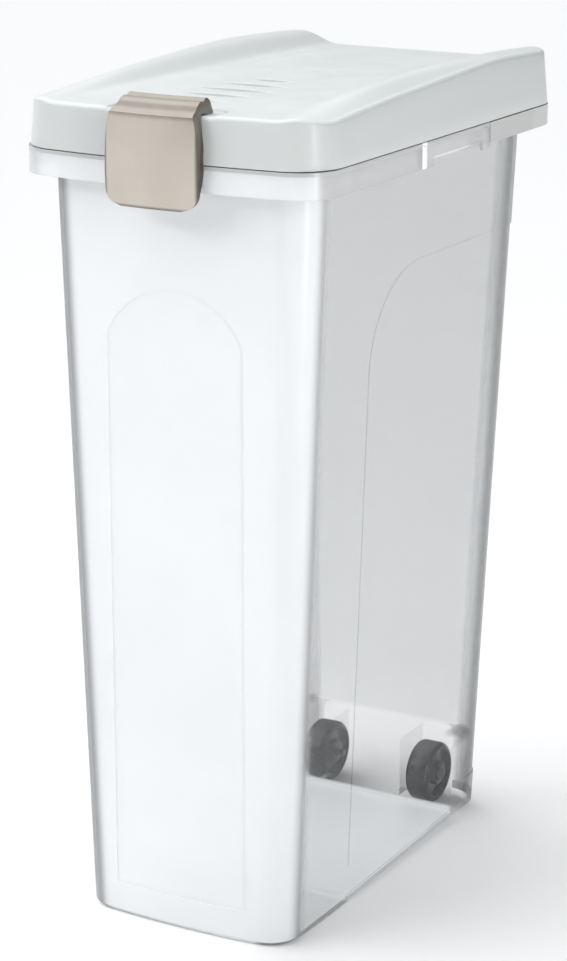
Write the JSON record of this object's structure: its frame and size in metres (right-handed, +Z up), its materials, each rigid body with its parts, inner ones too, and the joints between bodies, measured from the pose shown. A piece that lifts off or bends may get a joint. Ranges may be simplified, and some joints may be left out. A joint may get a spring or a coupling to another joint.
{
  "type": "pet food storage bin",
  "caption": "Tall slim pet food storage bin: tapered translucent tub on rear wheels, pale hinged lid with grip grooves and seal, taupe front latch.",
  "frame": {"origin": "on the floor, under the middle of the outer box", "axes": "+Z up, -Y towards the front with the latch, +X to the right as seen from the front"},
  "size_m": [0.2408, 0.402, 0.605],
  "materials": {
    "clear_tub": "satin translucent",
    "pale_lid": "satin",
    "taupe_latch": "satin pearl",
    "grey_wheel": "satin",
    "soft_seal": "matt",
    "steel_pin": "bright",
    "axle_plastic": "satin"
  },
  "bodies": {
    "tub": {"tub": "clear_tub", "axle_left": "axle_plastic", "axle_right": "axle_plastic", "hinge_pin_left": "steel_pin", "hinge_pin_right": "steel_pin", "latch_pin": "steel_pin"},
    "lid": {"lid": "pale_lid", "lid_seal": "soft_seal"},
    "latch": {"latch": "taupe_latch"},
    "wheel_left": {"wheel_left": "grey_wheel"},
    "wheel_right": {"wheel_right": "grey_wheel"}
  },
  "joints": [
    {"name": "lid_hinge", "type": "hinge", "parent": "tub", "child": "lid", "pos_m": [0, 0.1964, 0.555], "axis": [-1, 0, 0], "range_deg": [0, 105]},
    {"name": "latch_pivot", "type": "hinge", "parent": "tub", "child": "latch", "pos_m": [0, -0.194, 0.536], "axis": [1, 0, 0], "range_deg": [0, 90]},
    {"name": "wheel_left_spin", "type": "hinge", "parent": "tub", "child": "wheel_left", "pos_m": [-0.0467, 0.1323, 0.0243], "axis": [1, 0, 0], "continuous": true},
    {"name": "wheel_right_spin", "type": "hinge", "parent": "tub", "child": "wheel_right", "pos_m": [0.0467, 0.1323, 0.0243], "axis": [1, 0, 0], "continuous": true}
  ]
}
